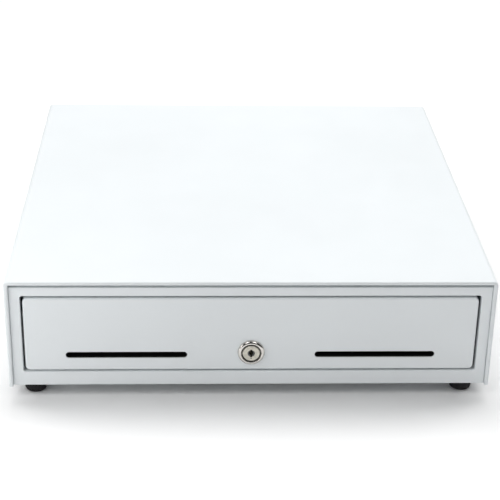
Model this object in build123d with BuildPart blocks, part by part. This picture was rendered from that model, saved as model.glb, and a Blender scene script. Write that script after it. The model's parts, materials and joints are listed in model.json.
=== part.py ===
from build123d import *
import os
from math import cos, radians, sin, tan

# A point-of-sale cash drawer: a folded-steel case with a framed front, a drawer on three-part ball
# slides, a removable money till, a quarter-turn cam lock and a solenoid latch behind the drawer.
# Millimetres. +Z is up, the front faces -Y, and the origin is on the floor under the case's centre.

os.makedirs("parts", exist_ok=True)

# ---------------------------------------------------------------- driving dimensions
WIDTH, DEPTH, HEIGHT = 410.0, 415.0, 114.0
FOOT_HEIGHT = 14.0                      # visible rubber under the case
SHEET = 1.2                             # gauge of the case and its brackets
TRAY_SHEET = 1.0                        # gauge of the sliding tray
RIM = 3.4                               # hemmed front edge of the cover
CORNER = 4.0                            # outside bend of the cover's top corners
RECESS = 3.0                            # front frame, set back behind the rim
SHADOW_GAP = 3.0                        # between the rim and the top of the front frame
GAP = 2.1                               # all round the drawer front
OPENING_HALF, OPENING_LOW, OPENING_HIGH = 192.7, 26.9, 99.5
TRAVEL = 300.0                          # drawer opening, the limit of the slides
LOCK_HEIGHT, SLOT_HEIGHT = 45.6, 43.2   # above the floor
SLOT_CENTRE, SLOT_LENGTH, SLOT_GAP = 105.3, 102.6, 6.0
RELEASE_ANGLE = 20.0                    # latch turn between holding and released

# ---------------------------------------------------------------- places worked out from them
FRONT, BACK = -DEPTH / 2, DEPTH / 2
CASE_LOW = FOOT_HEIGHT
FACE = FRONT + RECESS                   # plane of the front frame and of the drawer front
PAN_LOW = CASE_LOW + SHEET              # the base pan lies on the cover's bottom flanges
PAN_TOP = PAN_LOW + SHEET
REAR_PLATE = BACK - 4.1                 # inner face of the rear panel
FOOT_X, FOOT_Y = WIDTH / 2 - 20, DEPTH / 2 - 22
CASE_SCREW_X, CASE_SCREW_YS = WIDTH / 2 - 8.0, (-150.0, 0.0, 140.0)
REAR_SCREW_XS, REAR_SCREW_Z = (-170.0, -60.0, 60.0, 170.0), 23.0

SLIDE_WALL = 191.9                      # inner face of the slide brackets
SLIDE_DEPTH, SLIDE_Z = 12.7, 50.0       # a slide's overall thickness and its centre height
RAIL_FRONT, RAIL_LENGTH = FRONT + 14.5, 350.0
TRAY_HALF = SLIDE_WALL - SLIDE_DEPTH    # outside of the tray
TRAY_FRONT, TRAY_BACK = FACE + SHEET, 165.0
TRAY_LOW, TRAY_SIDE_TOP = 30.0, 86.0

DOOR_HALF = OPENING_HALF - GAP
DOOR_LOW, DOOR_HIGH = OPENING_LOW + 1.7, OPENING_HIGH - 2.4

M3, M4 = 1.5, 2.0                       # screw radii
FREE = 0.05                             # radial clearance of a screw or shaft in its hole


def across(y):
    """An upright sketch plane at depth y: sketch X is the model's X and sketch Y is its Z."""
    return Plane(origin=(0, y, 0), x_dir=(1, 0, 0), z_dir=(0, -1, 0))


def side_on(x):
    """An upright sketch plane at x: sketch X is the model's Y and sketch Y is its Z."""
    return Plane(origin=(x, 0, 0), x_dir=(0, 1, 0), z_dir=(1, 0, 0))


def folded(points, bend, gauge=SHEET):
    """Draws a folded sheet's section: its mid-line runs through points, with bends of radius bend."""
    with BuildLine() as section:
        FilletPolyline(*points, radius=bend)
    trace(section.line, line_width=gauge)


def block(low, high, mode=Mode.ADD):
    """A box between two opposite corners."""
    middle = tuple((a + b) / 2 for a, b in zip(low, high))
    size = tuple(b - a for a, b in zip(low, high))
    with Locations(middle):
        Box(*size, mode=mode)


def finish(piece, label):
    """Names a finished piece and writes its STEP file."""
    piece.part.label = label
    export_step(piece.part, f"parts/{label}.step")


# ================================================================ case
with BuildPart() as cover:
    mid = SHEET / 2
    side, top, flange = WIDTH / 2 - mid, HEIGHT - mid, WIDTH / 2 - 10.4
    with BuildSketch(across(BACK)):
        folded(
            [(-flange, CASE_LOW + mid), (-side, CASE_LOW + mid), (-side, top),
             (side, top), (side, CASE_LOW + mid), (flange, CASE_LOW + mid)],
            CORNER - mid,
        )
    extrude(amount=DEPTH)
    # the hem: the front edge folded back on itself
    side, top = WIDTH / 2 - RIM / 2, HEIGHT - RIM / 2
    with BuildSketch(across(FRONT + 8)):
        folded([(-side, CASE_LOW), (-side, top), (side, top), (side, CASE_LOW)], CORNER - RIM / 2, RIM)
    extrude(amount=8)
    # the bottom flanges stop behind the front frame
    block((-WIDTH / 2 + RIM, FRONT, CASE_LOW - 1), (WIDTH / 2 - RIM, FRONT + 18, PAN_LOW + 4), Mode.SUBTRACT)
    hem_edges = cover.faces().sort_by(Axis.Y)[0].edges().filter_by(lambda e: e.center().Z > CASE_LOW + 0.1)
    fillet(hem_edges, RIM / 2 - 0.3)
    with Locations(*[(x, y, CASE_LOW) for x in (-CASE_SCREW_X, CASE_SCREW_X) for y in CASE_SCREW_YS]):
        Cylinder(M3 + FREE, 3 * SHEET, mode=Mode.SUBTRACT)
finish(cover, "case_cover")

with BuildPart() as bezel:
    half, top = WIDTH / 2 - RIM - 0.2, HEIGHT - RIM - SHADOW_GAP
    height, centre = top - CASE_LOW, (top + CASE_LOW) / 2
    opening = OPENING_HIGH - OPENING_LOW
    opening_centre = (OPENING_HIGH + OPENING_LOW) / 2
    with BuildSketch(across(FACE + 8.5)):
        with Locations((0, centre)):
            Rectangle(2 * half, height)
            Rectangle(2 * (half - SHEET), height - 2 * SHEET, mode=Mode.SUBTRACT)
    extrude(amount=8.5)
    with BuildSketch(across(FACE + SHEET)):
        with Locations((0, centre)):
            Rectangle(2 * half, height)
    extrude(amount=SHEET)
    fillet(bezel.faces().sort_by(Axis.Y)[0].edges(), 0.6)
    with BuildSketch(across(FACE + 7)):
        with Locations((0, opening_centre)):
            RectangleRounded(2 * (OPENING_HALF + SHEET), opening + 2 * SHEET, 2.3 + SHEET)
    extrude(amount=7)
    with BuildSketch(across(FACE + 8)):
        with Locations((0, opening_centre)):
            RectangleRounded(2 * OPENING_HALF, opening, 2.3)
    extrude(amount=8, mode=Mode.SUBTRACT)
    fillet(bezel.faces().sort_by(Axis.Y)[0].inner_wires()[0].edges(), 0.7)
    # the lower edge's tongue, which the base pan rests on
    block((-165, FACE + 8, CASE_LOW), (165, FRONT + 18, PAN_LOW))
finish(bezel, "front_bezel")

HOLD_DOWN_SPACING, HOLD_DOWN_RADIUS = 300.0, 2.75
with BuildPart() as pan:
    front, wall = FRONT + 12, WIDTH / 2 - SHEET - 0.3 - SHEET / 2
    with BuildSketch(across(REAR_PLATE)):
        low = PAN_LOW + SHEET / 2
        folded([(-wall, 28), (-wall, low), (wall, low), (wall, 28)], 2.4)
    extrude(amount=REAR_PLATE - front)
    block((-wall + 4, REAR_PLATE - SHEET, PAN_LOW), (wall - 4, REAR_PLATE, 30))
    with Locations(*[(x, y, PAN_LOW) for x in (-FOOT_X, FOOT_X) for y in (-FOOT_Y, FOOT_Y)]):
        Cylinder(M4 + FREE, 3 * SHEET, mode=Mode.SUBTRACT)
    with Locations(*[(x, y, PAN_LOW) for x in (-CASE_SCREW_X, CASE_SCREW_X) for y in CASE_SCREW_YS]):
        Cylinder(M3 + FREE, 3 * SHEET, mode=Mode.SUBTRACT)
    with Locations((0, 0, PAN_LOW)), GridLocations(HOLD_DOWN_SPACING, HOLD_DOWN_SPACING, 2, 2):
        Cylinder(HOLD_DOWN_RADIUS, 3 * SHEET, mode=Mode.SUBTRACT)
    with Locations(*[(x, REAR_PLATE, REAR_SCREW_Z) for x in REAR_SCREW_XS]):
        Cylinder(M3 + FREE, 6, rotation=(90, 0, 0), mode=Mode.SUBTRACT)
finish(pan, "base_pan")

JACK_X, JACK_Z = 128.0, 40.0
JACK_WIDTH, JACK_TALL = 13.4, 12.0
with BuildPart() as rear:
    half, low, top = WIDTH / 2 - SHEET - 0.3, PAN_LOW + 0.2, HEIGHT - SHEET - 0.2
    with BuildSketch(across(REAR_PLATE + SHEET)) as outline:
        with Locations((0, (low + top) / 2)):
            Rectangle(2 * half, top - low)
        fillet(outline.vertices(), 3.4)
    extrude(amount=SHEET + 10)
    fillet(rear.faces().sort_by(Axis.Y)[-1].edges().filter_by(lambda e: e.center().Z > low + 1), 1.0)
    with BuildSketch(across(REAR_PLATE)) as hollow:
        with Locations((0, (low + top) / 2 - SHEET)):
            Rectangle(2 * (half - SHEET), top - low)
        fillet(hollow.vertices().group_by(Axis.Y)[-1], 3.4 - SHEET)
    extrude(amount=12, mode=Mode.SUBTRACT)
    # the side flanges stop above the base pan
    block((-half, REAR_PLATE - 11, low), (half, REAR_PLATE, 32), Mode.SUBTRACT)
    with Locations((JACK_X, REAR_PLATE, JACK_Z)):
        Box(JACK_WIDTH + 0.2, 6, JACK_TALL + 0.2, mode=Mode.SUBTRACT)
    with Locations(*[(x, REAR_PLATE, REAR_SCREW_Z) for x in REAR_SCREW_XS]):
        Cylinder(M3 + FREE, 6, rotation=(90, 0, 0), mode=Mode.SUBTRACT)
finish(rear, "rear_panel")

# ---------------------------------------------------------------- feet and screws
FOOT_TOP_RADIUS, FOOT_BASE_RADIUS = 10.0, 9.4
FOOT_WELL_RADIUS, FOOT_WELL = 4.2, 7.0  # the screw head sits up inside the foot


def make_foot(label, x, y):
    """A tapered rubber foot with a well for its screw."""
    with BuildPart() as foot:
        with BuildSketch(Plane.XY.offset(PAN_LOW)):
            with Locations((x, y)):
                Circle(FOOT_TOP_RADIUS)
        with BuildSketch(Plane.XY):
            with Locations((x, y)):
                Circle(FOOT_BASE_RADIUS)
        loft()
        fillet(foot.edges().sort_by(Axis.Z)[0], 3.0)
        with Locations((x, y, FOOT_WELL / 2)):
            Cylinder(FOOT_WELL_RADIUS, FOOT_WELL, mode=Mode.SUBTRACT)
        with Locations((x, y, PAN_LOW / 2)):
            Cylinder(M4 + FREE, PAN_LOW + 2, mode=Mode.SUBTRACT)
    finish(foot, label)


make_foot("foot_front_left", -FOOT_X, -FOOT_Y)
make_foot("foot_front_right", FOOT_X, -FOOT_Y)
make_foot("foot_rear_left", -FOOT_X, FOOT_Y)
make_foot("foot_rear_right", FOOT_X, FOOT_Y)


def pan_head_screws(label, places, up, radius, length, head=2.0):
    """Pan-head screws with a cross recess: places are the seats of their heads, and up is the way they drive."""
    with BuildPart() as screws:
        for place in places:
            seat = Plane(origin=place, z_dir=up)
            with Locations(seat):
                with Locations((0, 0, length / 2)):
                    Cylinder(radius, length)
                with Locations((0, 0, -head / 2)):
                    Cylinder(2 * radius - 0.1, head)
                with Locations((0, 0, -head + 0.4)):
                    Box(2.2 * radius, 0.7, 0.8, mode=Mode.SUBTRACT)
                    Box(0.7, 2.2 * radius, 0.8, mode=Mode.SUBTRACT)
    finish(screws, label)


foot_seats = [(x, y, FOOT_WELL) for x in (-FOOT_X, FOOT_X) for y in (-FOOT_Y, FOOT_Y)]
pan_head_screws("foot_screws", foot_seats, (0, 0, 1), M4, PAN_TOP + 2.6 - FOOT_WELL)
case_seats = [(x, y, CASE_LOW) for x in (-CASE_SCREW_X, CASE_SCREW_X) for y in CASE_SCREW_YS]
pan_head_screws("case_screws", case_seats, (0, 0, 1), M3, 3 * SHEET + 1.4)
rear_seats = [(x, REAR_PLATE + SHEET, REAR_SCREW_Z) for x in REAR_SCREW_XS]
pan_head_screws("rear_screws", rear_seats, (0, -1, 0), M3, 2 * SHEET + 2)

# ================================================================ ball slides
# A slide's section is drawn from the bracket's wall towards the tray: u is the distance from that
# wall and v the height above the slide's centre.
OUTER_CAGE_U, OUTER_CAGE_V = 5.2, 14.75     # rows of balls between the outer and middle rails
INNER_CAGE_U, INNER_CAGE_V = 6.6, 10.65     # rows of balls between the middle and inner rails
BALL = 1.5
CAGE_FRONT, CAGE_LENGTH, BALLS_IN_ROW, BALL_PITCH = -73.0, 100.0, 8, 12.0
BRACKET_TOP = 76.0


def channel(s, reach, web, height, bend):
    """Mid-line points of a rail's C section on side s: lips reach from u=reach to the web at u=web."""
    points = [(reach, height), (web, height), (web, -height), (reach, -height)]
    return [(s * (SLIDE_WALL - u), SLIDE_Z + v) for u, v in points], bend


def make_rail(label, s, reach, web, height, bend, gauge):
    """One rail of a slide, a rolled C channel."""
    points, bend = channel(s, reach, web, height, bend)
    with BuildPart() as rail:
        with BuildSketch(across(RAIL_FRONT + RAIL_LENGTH)):
            folded(points, bend, gauge)
        extrude(amount=RAIL_LENGTH)
    finish(rail, label)


def ball_places(s, u, v):
    """Centres of a cage's balls."""
    first = CAGE_FRONT + (CAGE_LENGTH - (BALLS_IN_ROW - 1) * BALL_PITCH) / 2
    ys = [first + i * BALL_PITCH for i in range(BALLS_IN_ROW)]
    return [(s * (SLIDE_WALL - u), y, SLIDE_Z + h) for h in (-v, v) for y in ys]


def make_cage(label, s, reach, web, u, v):
    """A thin ball cage with a hole for each ball."""
    points, bend = channel(s, reach, web, v, 0.6)
    with BuildPart() as cage:
        with BuildSketch(across(CAGE_FRONT + CAGE_LENGTH)):
            folded(points, bend, 0.5)
        extrude(amount=CAGE_LENGTH)
        with Locations(*ball_places(s, u, v)):
            Cylinder(BALL + 0.1, 2, mode=Mode.SUBTRACT)
    finish(cage, label)


def make_balls(label, s, u, v):
    """The balls of one cage, as separate solids in one node."""
    with BuildPart() as balls:
        with Locations(*ball_places(s, u, v)):
            Sphere(BALL)
    finish(balls, label)


for word, s in (("left", -1), ("right", 1)):
    with BuildPart() as bracket:
        wall, foot = SLIDE_WALL + SHEET / 2, PAN_TOP + SHEET / 2
        with BuildSketch(across(RAIL_FRONT + RAIL_LENGTH + 3)):
            folded([(s * wall, BRACKET_TOP), (s * wall, foot), (s * (WIDTH / 2 - 4.8), foot)], 1.6)
        extrude(amount=RAIL_LENGTH)
        with Locations(*[(s * CASE_SCREW_X, y, PAN_TOP) for y in CASE_SCREW_YS]):
            Cylinder(M3 + FREE, 4 * SHEET, mode=Mode.SUBTRACT)
    finish(bracket, f"slide_bracket_{word}")
    make_rail(f"outer_rail_{word}", s, 8.9, 0.6, 16.9, 1.2, 1.2)
    make_rail(f"middle_rail_{word}", s, 10.0, 2.5, 12.7, 1.1, 1.0)
    make_rail(f"inner_rail_{word}", s, 4.5, 12.1, 8.5, 1.2, 1.2)
    make_cage(f"outer_cage_{word}", s, 7.5, 1.6, OUTER_CAGE_U, OUTER_CAGE_V)
    make_cage(f"inner_cage_{word}", s, 9.0, 3.45, INNER_CAGE_U, INNER_CAGE_V)
    make_balls(f"outer_balls_{word}", s, OUTER_CAGE_U, OUTER_CAGE_V)
    make_balls(f"inner_balls_{word}", s, INNER_CAGE_U, INNER_CAGE_V)

# ================================================================ drawer
LOCK_HOLE = 9.6
DOOR_FOLD = 9.0                        # depth of the drawer front's folded edges
door_height, door_centre = DOOR_HIGH - DOOR_LOW, (DOOR_HIGH + DOOR_LOW) / 2

with BuildPart() as door:
    with BuildSketch(across(FACE + SHEET + DOOR_FOLD)):
        with Locations((0, door_centre)):
            RectangleRounded(2 * DOOR_HALF, door_height, 4.0)
    extrude(amount=SHEET + DOOR_FOLD)
    with BuildSketch(across(FACE + SHEET + DOOR_FOLD)):
        with Locations((0, door_centre)):
            RectangleRounded(2 * (DOOR_HALF - SHEET), door_height - 2 * SHEET, 4.0 - SHEET)
    extrude(amount=DOOR_FOLD, mode=Mode.SUBTRACT)
    fillet(door.faces().sort_by(Axis.Y)[0].edges(), 1.5)
    with BuildSketch(across(FACE + 2 * SHEET)):
        with Locations((-SLOT_CENTRE, SLOT_HEIGHT), (SLOT_CENTRE, SLOT_HEIGHT)):
            SlotOverall(SLOT_LENGTH, SLOT_GAP)
        with Locations((0, LOCK_HEIGHT)):
            Circle(LOCK_HOLE)
    extrude(amount=3 * SHEET, mode=Mode.SUBTRACT)
finish(door, "drawer_front")

GUIDE_WALL = 2.0                        # plastic round each note slot
CAM_SLOT_LOW, CAM_SLOT_HIGH = -8.0, 28.0
CAM_FRONT = FRONT + 23.0                # the lock cam's front face
CAM_THICKNESS = 2.0

with BuildPart() as tray:
    with BuildSketch(across(TRAY_BACK)):
        wall, low = TRAY_HALF - TRAY_SHEET / 2, TRAY_LOW + TRAY_SHEET / 2
        folded([(-wall, TRAY_SIDE_TOP), (-wall, low), (wall, low), (wall, TRAY_SIDE_TOP)], 1.5, TRAY_SHEET)
    extrude(amount=TRAY_BACK - TRAY_FRONT)
    inside = TRAY_HALF - TRAY_SHEET / 2
    block((-inside, TRAY_BACK - TRAY_SHEET, TRAY_LOW + 0.5), (inside, TRAY_BACK, TRAY_SIDE_TOP))
    block((-inside, TRAY_FRONT, TRAY_LOW + 0.5), (inside, TRAY_FRONT + TRAY_SHEET, DOOR_HIGH - 2.4))
    with BuildSketch(across(TRAY_FRONT + 2)):
        with Locations((-SLOT_CENTRE, SLOT_HEIGHT), (SLOT_CENTRE, SLOT_HEIGHT)):
            SlotOverall(SLOT_LENGTH + 2 * GUIDE_WALL + 0.2, SLOT_GAP + 2 * GUIDE_WALL + 0.2)
        with Locations((0, LOCK_HEIGHT)):
            Circle(LOCK_HOLE)
    extrude(amount=4, mode=Mode.SUBTRACT)
    block(
        (CAM_SLOT_LOW, CAM_FRONT - 2.0, TRAY_LOW - 1),
        (CAM_SLOT_HIGH, CAM_FRONT + CAM_THICKNESS + 2.0, TRAY_LOW + 3),
        Mode.SUBTRACT,
    )
finish(tray, "drawer_tray")

with BuildPart() as guides:
    for x in (-SLOT_CENTRE, SLOT_CENTRE):
        with BuildSketch(across(TRAY_FRONT + 17)):
            with Locations((x, SLOT_HEIGHT)):
                SlotOverall(SLOT_LENGTH + 2 * GUIDE_WALL, SLOT_GAP + 2 * GUIDE_WALL)
        extrude(amount=17)
        with BuildSketch(across(TRAY_FRONT + TRAY_SHEET + 1.6)):
            with Locations((x, SLOT_HEIGHT)):
                RectangleRounded(SLOT_LENGTH + 14, SLOT_GAP + 9, 2)
        extrude(amount=1.6)
        with BuildSketch(across(TRAY_FRONT + 18)):
            with Locations((x, SLOT_HEIGHT)):
                SlotOverall(SLOT_LENGTH, SLOT_GAP)
        extrude(amount=20, mode=Mode.SUBTRACT)
finish(guides, "slot_guides")

TILL_LOW, TILL_TOP = 49.0, 95.0
TILL_HALF, TILL_FRONT, TILL_BACK = TRAY_HALF - 3.7, -177.0, 159.0
with BuildPart() as ledges:
    wall, shelf = TRAY_HALF - TRAY_SHEET - SHEET / 2, TILL_LOW - SHEET / 2
    for s in (-1, 1):
        with BuildSketch(across(TILL_BACK)):
            folded([(s * wall, 37), (s * wall, shelf), (s * (wall - 10), shelf)], 1.6)
        extrude(amount=TILL_BACK - TILL_FRONT)
finish(ledges, "till_ledges")

# ---------------------------------------------------------------- money till
WALL = 2.5                              # till walls and floor
BILLS, COINS = 4, 5
DIVIDE = -42.5                          # front face of the wall between coins and notes
ROD_Y, ROD_Z, ROD_RADIUS = 146.0, 88.0, 1.5
bill_width = (2 * TILL_HALF - (BILLS + 1) * WALL) / BILLS
bill_centres = [(i - (BILLS - 1) / 2) * (bill_width + WALL) for i in range(BILLS)]
bill_front, bill_back = DIVIDE + WALL, TILL_BACK - WALL

with BuildPart() as till:
    with BuildSketch(Plane.XY.offset(TILL_LOW)):
        with Locations((0, (TILL_FRONT + TILL_BACK) / 2)):
            RectangleRounded(2 * TILL_HALF, TILL_BACK - TILL_FRONT, 6)
    extrude(amount=TILL_TOP - TILL_LOW)
    with BuildSketch(Plane.XY.offset(TILL_LOW + WALL)):
        with Locations(*[(x, (bill_front + bill_back) / 2) for x in bill_centres]):
            RectangleRounded(bill_width, bill_back - bill_front, 4)
        with Locations((0, (TILL_FRONT + WALL + DIVIDE) / 2)):
            RectangleRounded(2 * (TILL_HALF - WALL), DIVIDE - TILL_FRONT - WALL, 4)
    extrude(amount=TILL_TOP - TILL_LOW, mode=Mode.SUBTRACT)
    fillet(till.faces().sort_by(Axis.Z)[-1].outer_wire().edges(), 1.0)
    with Locations((0, ROD_Y, ROD_Z)):
        Cylinder(ROD_RADIUS + FREE, 2 * TILL_HALF - 2, rotation=(0, 90, 0), mode=Mode.SUBTRACT)
finish(till, "till_tray")

CUP_WALL = 2.2
cup_half, cup_front, cup_back = TILL_HALF - WALL - 0.4, TILL_FRONT + WALL + 0.4, DIVIDE - 0.4
cup_width = (2 * cup_half - (COINS + 1) * CUP_WALL) / COINS
with BuildPart() as cups:
    with BuildSketch(Plane.XY.offset(TILL_LOW + WALL)):
        with Locations((0, (cup_front + cup_back) / 2)):
            RectangleRounded(2 * cup_half, cup_back - cup_front, 3.6)
    extrude(amount=TILL_TOP - TILL_LOW - WALL - 1)
    for i in range(COINS):
        centre = (i - (COINS - 1) / 2) * (cup_width + CUP_WALL)
        with BuildSketch(side_on(centre - cup_width / 2)) as scoop:
            floor, rim = TILL_LOW + WALL + 3, TILL_TOP + 2
            with Locations(((cup_front + cup_back) / 2, (floor + rim) / 2)):
                Rectangle(cup_back - cup_front - 2 * CUP_WALL, rim - floor)
            fillet(scoop.vertices().group_by(Axis.Y)[0], 28)
        extrude(amount=cup_width, mode=Mode.SUBTRACT)
finish(cups, "coin_tray")

with BuildPart() as rod:
    with Locations((0, ROD_Y, ROD_Z)):
        Cylinder(ROD_RADIUS, 2 * TILL_HALF - 3, rotation=(0, 90, 0))
finish(rod, "arm_rod")

ARM_REACH, ARM_DROP, ARM_HALF, ARM_FOOT = 72.0, 31.8, 6.0, 4.0
for number, x in enumerate(bill_centres, 1):
    with BuildPart() as arm:
        with BuildSketch(side_on(x)):
            tip = (ROD_Y - ARM_REACH, ROD_Z - ARM_DROP)
            with Locations((ROD_Y, ROD_Z)):
                Circle(4.5)
            with BuildLine():
                Polyline(
                    (ROD_Y - 1, ROD_Z + 4), (ROD_Y - 30, ROD_Z - 6), (tip[0] - 1, tip[1] + 3.5),
                    (tip[0] + 1, tip[1] - 1.5), (ROD_Y - 28, ROD_Z - 10.5), (ROD_Y, ROD_Z - 4), close=True,
                )
            make_face()
        extrude(amount=ARM_HALF, both=True)
        with Locations((x, *tip)):
            Cylinder(ARM_FOOT, 28, rotation=(0, 90, 0))
        with Locations((x, ROD_Y, ROD_Z)):
            Cylinder(ROD_RADIUS + FREE, 30, rotation=(0, 90, 0), mode=Mode.SUBTRACT)
    finish(arm, f"bill_arm_{number}")

with BuildPart() as arm_springs:
    with Locations(*[(x + s * (ARM_HALF + 4.5), ROD_Y, ROD_Z) for x in bill_centres for s in (-1, 1)]):
        Cylinder(3.4, 8, rotation=(0, 90, 0))
        Cylinder(2.4, 9, rotation=(0, 90, 0), mode=Mode.SUBTRACT)
finish(arm_springs, "arm_springs")

# ================================================================ lock
FLANGE_RADIUS, FLANGE_DEPTH, BARREL_RADIUS = 11.5, 2.5, 9.5
HEAD_RADIUS, PLUG_RADIUS = 8.3, 6.45
LOCK_REAR = CAM_FRONT - 2.0
PLUG_FRONT, PLUG_SHOULDER, PLUG_FACE_RADIUS = FACE - 2.2, FACE - 0.8, 7.2   # a dark groove rings the face
head_seat = FACE + 0.6                  # where the plug's head ends inside the flange

with BuildPart() as lock_body:
    with BuildSketch(side_on(0)):
        with BuildLine():
            front = FACE - FLANGE_DEPTH
            crown = (front, LOCK_HEIGHT + FLANGE_RADIUS - 2.3)
            rim = (FACE - 0.5, LOCK_HEIGHT + FLANGE_RADIUS)
            ThreePointArc(crown, (front + 0.65, LOCK_HEIGHT + FLANGE_RADIUS - 0.75), rim)
            Polyline(
                rim, (FACE, LOCK_HEIGHT + FLANGE_RADIUS), (FACE, LOCK_HEIGHT + BARREL_RADIUS),
                (LOCK_REAR, LOCK_HEIGHT + BARREL_RADIUS), (LOCK_REAR, LOCK_HEIGHT + PLUG_RADIUS + FREE),
                (head_seat, LOCK_HEIGHT + PLUG_RADIUS + FREE), (head_seat, LOCK_HEIGHT + HEAD_RADIUS + 0.15),
                (front + 0.5, LOCK_HEIGHT + HEAD_RADIUS + 0.15), (front, LOCK_HEIGHT + HEAD_RADIUS + 0.5), crown,
            )
        make_face()
    revolve(axis=Axis((0, 0, LOCK_HEIGHT), (0, 1, 0)))
finish(lock_body, "lock_body")

with BuildPart() as lock_nut:
    with BuildSketch(across(TRAY_FRONT + TRAY_SHEET + 4)):
        with Locations((0, LOCK_HEIGHT)):
            RegularPolygon(12.5, 6, major_radius=False)
            Circle(BARREL_RADIUS + FREE, mode=Mode.SUBTRACT)
    extrude(amount=4)
finish(lock_nut, "lock_nut")

with BuildPart() as plug:
    with BuildSketch(across(head_seat - 0.05)):
        with Locations((0, LOCK_HEIGHT)):
            Circle(HEAD_RADIUS)
    extrude(amount=head_seat - 0.05 - PLUG_SHOULDER)
    with BuildSketch(across(PLUG_SHOULDER)):
        with Locations((0, LOCK_HEIGHT)):
            Circle(PLUG_FACE_RADIUS)
    extrude(amount=PLUG_SHOULDER - PLUG_FRONT)
    fillet(plug.edges().sort_by(Axis.Y)[0], 0.3)
    with BuildSketch(across(CAM_FRONT)):
        with Locations((0, LOCK_HEIGHT)):
            Circle(PLUG_RADIUS)
    extrude(amount=CAM_FRONT - head_seat + 0.05)
    with BuildSketch(across(CAM_FRONT + CAM_THICKNESS)):
        with Locations((0, LOCK_HEIGHT)):
            Rectangle(7, 7)
    extrude(amount=CAM_THICKNESS)
    with BuildSketch(across(PLUG_FRONT + 0.7)):
        with Locations((0, LOCK_HEIGHT)):
            Circle(3.1)
    extrude(amount=2, mode=Mode.SUBTRACT)
    with BuildSketch(across(FACE + 11)):
        with Locations((0, LOCK_HEIGHT)):
            Rectangle(1.7, 7.2)
            Rectangle(3.6, 2.2)
    extrude(amount=16, mode=Mode.SUBTRACT)
    with Locations((0, CAM_FRONT, LOCK_HEIGHT)):
        Cylinder(M4 + FREE, 9, rotation=(90, 0, 0), mode=Mode.SUBTRACT)
finish(plug, "lock_plug")

CAM_REACH = 25.0
with BuildPart() as cam:
    with BuildSketch(across(CAM_FRONT + CAM_THICKNESS)):
        with Locations((0, LOCK_HEIGHT)):
            Circle(7)
        with Locations((CAM_REACH / 2, LOCK_HEIGHT)):
            Rectangle(CAM_REACH, 10)
        with Locations((0, LOCK_HEIGHT)):
            Rectangle(7.1, 7.1, mode=Mode.SUBTRACT)
    extrude(amount=CAM_THICKNESS)
    fillet(cam.edges().filter_by(Axis.Y).group_by(Axis.X)[-1], 3)
finish(cam, "lock_cam")

pan_head_screws("cam_screw", [(0, CAM_FRONT + CAM_THICKNESS, LOCK_HEIGHT)], (0, -1, 0), M4, 5.5, 2.6)

with BuildPart() as keeper:
    with BuildSketch(side_on(-10)):
        with Locations((CAM_FRONT - 0.9 - SHEET / 2, (PAN_TOP + 26) / 2)):
            Rectangle(SHEET, 26 - PAN_TOP)
        with Locations((CAM_FRONT - 0.9 - 6, PAN_TOP + SHEET / 2)):
            Rectangle(12, SHEET)
    extrude(amount=20)
finish(keeper, "lock_keeper")

# ================================================================ latch and release, behind the tray
SHELF_TOP = 28.0                        # top of the latch bracket
SHELF_GAUGE = 1.5
LEVER_LOW, LEVER_HIGH = 38.5, 41.5
PIVOT = (11.0, 196.0)
PIVOT_RADIUS = 2.5
STRIKER_Y, STRIKER_RADIUS = 179.0, 2.5
LINK_ARM, LINK_RADIUS = 14.0, 1.5       # pivot to plunger pin, and that pin's radius
half_turn = radians(RELEASE_ANGLE / 2)
link_x = PIVOT[0] + LINK_ARM * sin(half_turn)
link_y = PIVOT[1] - LINK_ARM * cos(half_turn)
lever_mid = (LEVER_LOW + LEVER_HIGH) / 2

with BuildPart() as striker:
    block((-12, TRAY_BACK, 34), (12, TRAY_BACK + 1.5, 49))
    for low in (34.0, 47.5):
        block((-6, TRAY_BACK, low), (6, STRIKER_Y + 4, low + 1.5))
    with Locations((0, STRIKER_Y, 41.5)):
        Cylinder(STRIKER_RADIUS, 15)
finish(striker, "striker")

with BuildPart() as shelf:
    with BuildSketch(across(REAR_PLATE - 2)):
        foot, top = PAN_TOP + SHELF_GAUGE / 2, SHELF_TOP - SHELF_GAUGE / 2
        folded([(-80, foot), (-66, foot), (-66, top), (80, top), (80, foot), (94, foot)], 2, SHELF_GAUGE)
    extrude(amount=REAR_PLATE - 2 - (TRAY_BACK + 2.2))
    with Locations((*PIVOT, SHELF_TOP)):
        Cylinder(PIVOT_RADIUS, 6, mode=Mode.SUBTRACT)
finish(shelf, "latch_bracket")

with BuildPart() as pivot:
    with BuildSketch(Plane.XY.offset(SHELF_TOP - SHELF_GAUGE)):
        with Locations(PIVOT):
            Circle(PIVOT_RADIUS)
    extrude(amount=LEVER_HIGH + 4.6 - SHELF_TOP + SHELF_GAUGE)
    with BuildSketch(Plane.XY.offset(SHELF_TOP)):
        with Locations(PIVOT):
            Circle(4.5)
    extrude(amount=LEVER_LOW - 0.2 - SHELF_TOP)
    with BuildSketch(Plane.XY.offset(LEVER_HIGH + 4.6)):
        with Locations(PIVOT):
            Circle(4.5)
    extrude(amount=1.5)
finish(pivot, "latch_pivot_pin")

with BuildPart() as latch_spring:
    with BuildSketch(Plane.XY.offset(LEVER_HIGH + 0.4)):
        with Locations(PIVOT):
            Circle(4.4)
            Circle(2.8, mode=Mode.SUBTRACT)
    extrude(amount=3.8)
finish(latch_spring, "latch_spring")

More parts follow.
